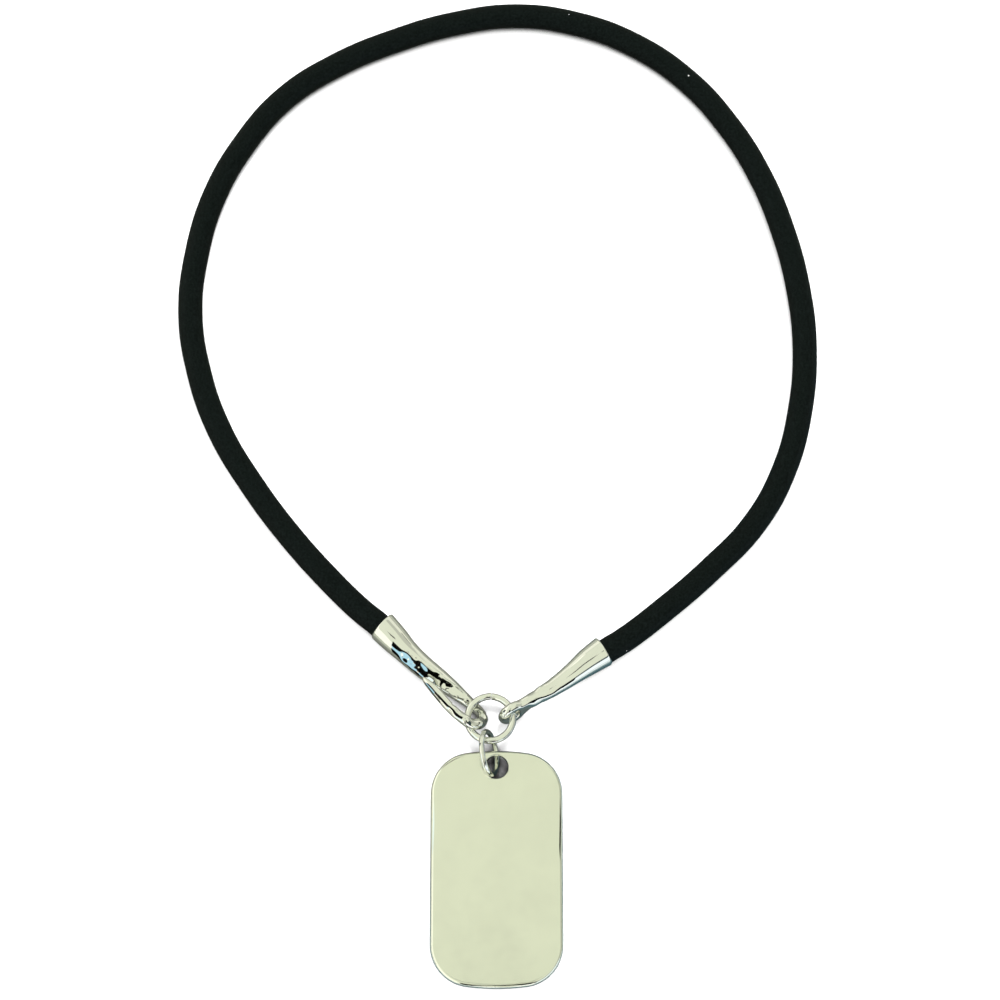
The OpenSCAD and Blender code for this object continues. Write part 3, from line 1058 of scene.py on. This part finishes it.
dent(hook_cap, hook_wear, hook_dent)
bpy.ops.object.shade_smooth()
print("dents up to", hook_dent / 2 * 1000, "mm deep")

# %% [markdown]
# ## Eye cap
# The eye cap tapers to a round neck that leans up to an upright eye and spreads into it. The eye is a
# torus. Its faces that look at the neck are taken away, and the neck's last ring is bridged to that
# gap, so that the subdivision surface blends the two as the casting does. The neck's ring has as many
# sides as the gap has edges. Softer dents than the hook's are pressed into the neck.

# %% Eye cap
EYE_BODY = [
    (0.00, 0.00, 1.00),
    (0.17, 0.20, 0.82),
    (0.33, 0.56, 0.57),
    (0.50, 0.88, 0.38),
    (0.67, 1.00, 0.24),
    (0.84, 0.98, 0.09),
    (1.00, eye_bow_at_end, 0.00),
]
EYE_SPREAD = [
    (0.00, 1.00),
    (0.75, 1.00),
    (0.88, 1.30),
    (1.00, 2.00),
]
SPREAD = 1

neck_r = 0.00125
neck_rise = 0.0005
eye_roll = math.radians(13)
eye_r = (eye_hole + eye_wire) / 2
eye_z = eye_r + eye_wire / 2
neck_length = eye_length - eye_r + eye_wire / 8
neck_share = 0.90
EYE_ROUND, EYE_TUBE = 32, 16
GAP_ROUND, GAP_TUBE = 8, 6
eye_sides = 2 * (GAP_ROUND + GAP_TUBE)


def eye_row(share):
    """Middle and half sizes of the body and neck, which leans up to the eye's middle."""
    length_share = share * neck_length / eye_length
    radius = neck_r + (rim_r - neck_r) * along(EYE_BODY, length_share, GROWTH)
    middle = (
        share * neck_length,
        eye_bow * along(EYE_BODY, length_share, BOW),
        rim_r + (eye_z + neck_rise - rim_r) * length_share,
    )
    return middle, radius, radius * along(EYE_SPREAD, share, SPREAD)


eye_rows = [eye_row(neck_share * step / body_steps) for step in range(1, body_steps + 1)]
eye_middles = [placed(row[0], eye_start, eye_dir) for row in eye_rows]
eye_side_way = toward(eye_dir + math.pi / 2)
eye_sections = socket_rows(eye_socket, eye_socket_dir) + rim_rows(eye_start, eye_dir)
for row, middle, heading in zip(eye_rows, eye_middles, headings(eye_middles)):
    eye_sections.append((middle, heading, eye_side_way, row[1], row[2]))
eye_cap = loft("eye_cap_visible", eye_sections, eye_sides, close_end=False)
print("eye cap's body", len(eye_cap.data.vertices), "points")

# %% Eye of the eye cap
eye_center = Vector((eye_mid.x, eye_mid.y, eye_z))
eye_turned = Matrix.Rotation(eye_dir, 3, "Z") @ Matrix.Rotation(eye_roll - math.pi / 2, 3, "X")
eye_axis = eye_turned @ Vector((0, 0, 1))
to_neck = -toward(eye_dir)
round_step = 2 * math.pi / EYE_ROUND
bpy.ops.mesh.select_all(action="DESELECT")
bpy.ops.mesh.primitive_torus_add(
    major_radius=eye_r,
    minor_radius=eye_wire / 2,
    major_segments=EYE_ROUND,
    minor_segments=EYE_TUBE,
    location=eye_center,
    rotation=eye_turned.to_euler(),
)


def faces_neck(face):
    """Is this face of the torus on its outer side and within the gap that takes the neck?"""
    out = face.calc_center_median() - eye_center
    flat = out - out.dot(eye_axis) * eye_axis
    if out.length > eye_r + eye_wire:
        return False
    round_angle = flat.angle(to_neck - to_neck.dot(eye_axis) * eye_axis)
    tube_angle = math.atan2(abs(out.dot(eye_axis)), flat.length - eye_r)
    tube_step = 2 * math.pi / EYE_TUBE
    return round_angle < GAP_ROUND / 2 * round_step and tube_angle < GAP_TUBE / 2 * tube_step


opened = pick("faces", faces_neck)
bpy.ops.mesh.delete(type="FACE")
gap_edges = pick("edges", lambda edge: edge.is_boundary)
bpy.ops.mesh.bridge_edge_loops()
bpy.ops.mesh.select_all(action="SELECT")
bpy.ops.mesh.normals_make_consistent(inside=False)
bpy.ops.object.mode_set(mode="OBJECT")
bpy.ops.object.modifier_add(type="SUBSURF")
eye_cap.modifiers[0].levels = 2
eye_cap.modifiers[0].render_levels = 2
apply_modifiers(eye_cap)
print("eye opened by", opened, "faces, bridged round", gap_edges, "edges")

# %% Dents of the eye cap
eye_dent = 0.0004
dented_from, dented_to = 0.55, 1.05
fade_in, fade_out = 0.2, 0.1


def eye_wear(spot):
    """How much the eye cap is dented at a point: most on its neck."""
    place = (spot - eye_start).dot(toward(eye_dir)) / neck_length
    return min(fade(place, dented_from, fade_in), fade(-place, -dented_to, fade_out))


dent(eye_cap, eye_wear, eye_dent)
bpy.ops.object.shade_smooth()
print("eye cap", len(eye_cap.data.polygons), "faces")

# %% [markdown]
# ## Marks and dust
# Polished steel is never quite even: polishing leaves slow waves, handling leaves fine hairlines and
# dull smudges. Rubber draws dust. Each is a node group, built once and used by each finish with its own
# values, so that the same hand seems to have held the whole necklace.


# %% Node groups
def new_group(name, inputs, outputs):
    """An empty node group with sockets for numbers, and its input and output nodes."""
    group = bpy.data.node_groups.new(name, "ShaderNodeTree")
    for label, value in inputs.items():
        socket = group.interface.new_socket(label, in_out="INPUT", socket_type="NodeSocketFloat")
        socket.default_value = value
    for label in outputs:
        group.interface.new_socket(label, in_out="OUTPUT", socket_type="NodeSocketFloat")
    entry = group.nodes.new("NodeGroupInput")
    leave = group.nodes.new("NodeGroupOutput")
    return group, entry, leave


def math_node(tree, operation, first, second=0.0, third=0.0):
    """The result of one sum, product or comparison."""
    return node(tree, "Math", {0: first, 1: second, 2: third}, operation=operation).outputs[0]


def use_group(tree, group, values):
    """Places a node group in a material, with its own values."""
    return node(tree, "Group", values, node_tree=group)


print("sums and groups can be added")

# %% Polishing waves, smudges and hairlines
polish_marks, entry, leave = new_group(
    "polish marks",
    {"Wave Scale": 160.0, "Wave Height": 0.5, "Hairline Height": 0.1, "Smudge Scale": 90.0},
    ["Smudge", "Hairline", "Height"],
)
where = node(polish_marks, "TexCoord").outputs["Object"]
waves = node(
    polish_marks,
    "TexNoise",
    {"Vector": where, "Scale": entry.outputs["Wave Scale"], "Detail": 1.0},
)
smudges = node(
    polish_marks,
    "TexNoise",
    {"Vector": where, "Scale": entry.outputs["Smudge Scale"], "Detail": 4.0, "Roughness": 0.6},
)
smudge = node(
    polish_marks,
    "MapRange",
    {"Value": smudges.outputs["Fac"], "From Min": 0.38, "From Max": 0.68},
)


def hairlines(turn, stretch):
    """Fine lines all one way: noise that is stretched long, of which only the peaks are kept."""
    turned = node(polish_marks, "Mapping", {"Vector": where, "Rotation": (0, 0, turn), "Scale": stretch})
    noise = node(
        polish_marks,
        "TexNoise",
        {"Vector": turned.outputs["Vector"], "Scale": 1.0, "Detail": 0.0},
    )
    peaks = {"Value": noise.outputs["Fac"], "From Min": 0.74, "From Max": 0.80}
    return node(polish_marks, "MapRange", peaks).outputs["Result"]


one_way = hairlines(0.35, (90.0, 5200.0, 90.0))
other_way = hairlines(-0.9, (70.0, 6100.0, 70.0))
hairline = math_node(polish_marks, "MAXIMUM", one_way, other_way)
wave_height = math_node(polish_marks, "MULTIPLY", waves.outputs["Fac"], entry.outputs["Wave Height"])
scratch_depth = math_node(polish_marks, "MULTIPLY", hairline, entry.outputs["Hairline Height"])
height = math_node(polish_marks, "SUBTRACT", wave_height, scratch_depth)
polish_marks.links.new(smudge.outputs["Result"], leave.inputs["Smudge"])
polish_marks.links.new(hairline, leave.inputs["Hairline"])
polish_marks.links.new(height, leave.inputs["Height"])
print("group", polish_marks.name)

# %% Dust
dust_specks, entry, leave = new_group(
    "dust specks",
    {"Scale": 700.0, "Share": 0.03, "Size": 0.12},
    ["Mask"],
)
where = node(dust_specks, "TexCoord").outputs["Object"]
cells = node(dust_specks, "TexVoronoi", {"Vector": where, "Scale": entry.outputs["Scale"]})
random = node(dust_specks, "SeparateColor", {"Color": cells.outputs["Color"]})
chosen = math_node(dust_specks, "LESS_THAN", random.outputs["Red"], entry.outputs["Share"])
size = math_node(dust_specks, "MULTIPLY", entry.outputs["Size"], random.outputs["Green"])
inside = math_node(dust_specks, "LESS_THAN", cells.outputs["Distance"], size)
mask = math_node(dust_specks, "MULTIPLY", chosen, inside)
dust_specks.links.new(mask, leave.inputs["Mask"])
print("group", dust_specks.name)

# %% [markdown]
# ## Finishes
# The caps and rings are mirror polished: metallic, almost no roughness, slow polishing waves. The tag's
# face has been handled, so its gloss is a little clouded. The rubber is matt, nearly black and dusty.

# %% Steel
smudge_shade = 0.97


def steel(name, colour, roughness, smudge_roughness, wave_distance, values):
    """Polished steel: smudges dull it, hairlines and waves bend what it mirrors."""
    material, tree = empty_material(name)
    marks = use_group(tree, polish_marks, values)
    dull = node(
        tree,
        "MapRange",
        {"Value": marks.outputs["Smudge"], "To Min": roughness, "To Max": smudge_roughness},
    )
    dark = tuple(smudge_shade * part for part in colour)
    tone = blend(tree, marks.outputs["Smudge"], (*colour, 1), (*dark, 1))
    bump = node(
        tree,
        "Bump",
        {"Height": marks.outputs["Height"], "Strength": 1.0, "Distance": wave_distance},
    )
    shader = node(
        tree,
        "BsdfPrincipled",
        {
            "Base Color": tone,
            "Metallic": 1.0,
            "Roughness": dull.outputs["Result"],
            "Normal": bump.outputs["Normal"],
        },
    )
    node(tree, "OutputMaterial", {"Surface": shader.outputs[0]})
    return material


# The tag's pale green-beige is partly the steel's own colour and partly a painted reflection of the
# beige ceiling.
tag_steel = steel(
    "tag steel",
    colour=(0.86, 0.88, 0.77),
    roughness=0.10,
    smudge_roughness=0.15,
    wave_distance=0.000012,
    values={"Wave Scale": 70.0, "Wave Height": 0.6, "Hairline Height": 0.03, "Smudge Scale": 120.0},
)
# Its faint warmth is likewise partly its own colour and partly a painted reflection of the ceiling.
polished_steel = steel(
    "polished steel",
    colour=(0.88, 0.89, 0.84),
    roughness=0.035,
    smudge_roughness=0.07,
    wave_distance=0.00002,
    values={"Wave Scale": 260.0, "Wave Height": 0.6, "Hairline Height": 0.02, "Smudge Scale": 260.0},
)
print("finishes", tag_steel.name, "and", polished_steel.name)

# %% Rubber
rubber_black = (0.0002, 0.0006, 0.0005, 1)
rubber_grain = (0.0030, 0.0046, 0.0042, 1)
dust_grey = (0.45, 0.46, 0.46, 1)

black_rubber, tree = empty_material("black rubber")
specks = use_group(tree, dust_specks, {"Scale": 620.0, "Share": 0.035, "Size": 0.13})
where = node(tree, "TexCoord").outputs["Object"]
skin = node(tree, "TexNoise", {"Vector": where, "Scale": 2400.0, "Detail": 4.0})
patches = node(tree, "TexNoise", {"Vector": where, "Scale": 90.0, "Detail": 3.0})
matt = node(tree, "MapRange", {"Value": patches.outputs["Fac"], "To Min": 0.42, "To Max": 0.62})
grain = node(tree, "MapRange", {"Value": skin.outputs["Fac"], "From Min": 0.35, "From Max": 0.70})
rubber = blend(tree, grain.outputs["Result"], rubber_black, rubber_grain)
tone = blend(tree, specks.outputs["Mask"], rubber, dust_grey)
bump = node(tree, "Bump", {"Height": skin.outputs["Fac"], "Strength": 1.0, "Distance": 0.000006})
shader = node(
    tree,
    "BsdfPrincipled",
    {
        "Base Color": tone,
        "Roughness": matt.outputs["Result"],
        "Specular IOR Level": 0.08,
        "Specular Tint": (0.75, 1.0, 0.98, 1),
        "Sheen Weight": 0.02,
        "Sheen Roughness": 0.3,
        "Sheen Tint": (0.75, 1.0, 0.95, 1),
        "Normal": bump.outputs["Normal"],
    },
)
node(tree, "OutputMaterial", {"Surface": shader.outputs[0]})
cord.data.materials.append(black_rubber)
print("finish", black_rubber.name)

# %% [markdown]
# ## Dress the necklace
# Each finished piece stands for its CAD node, which is then hidden but still collides and weighs.

# %% Dress the necklace
dress(tag, "tag", tag_steel)
dress(clasp_ring, "clasp_ring", polished_steel)
dress(jump_ring, "jump_ring", polished_steel)
dress(hook_cap, "hook_cap", polished_steel)
dress(eye_cap, "eye_cap", polished_steel)
for piece in (tag, clasp_ring, jump_ring, hook_cap, eye_cap):
    print(piece.name, "on", piece.data.materials[0].name)

# %% [markdown]
# ## Picture settings
# The Standard view keeps white paper white. Mirrored light that falls on the sheet again would only
# add noise, so it is left out.

# %% Picture settings
bpy.context.scene.view_settings.view_transform = "Standard"
bpy.context.scene.cycles.max_bounces = 10
bpy.context.scene.cycles.caustics_reflective = False
print("view transform", bpy.context.scene.view_settings.view_transform)

# %% Update the scene
bpy.context.view_layer.update()
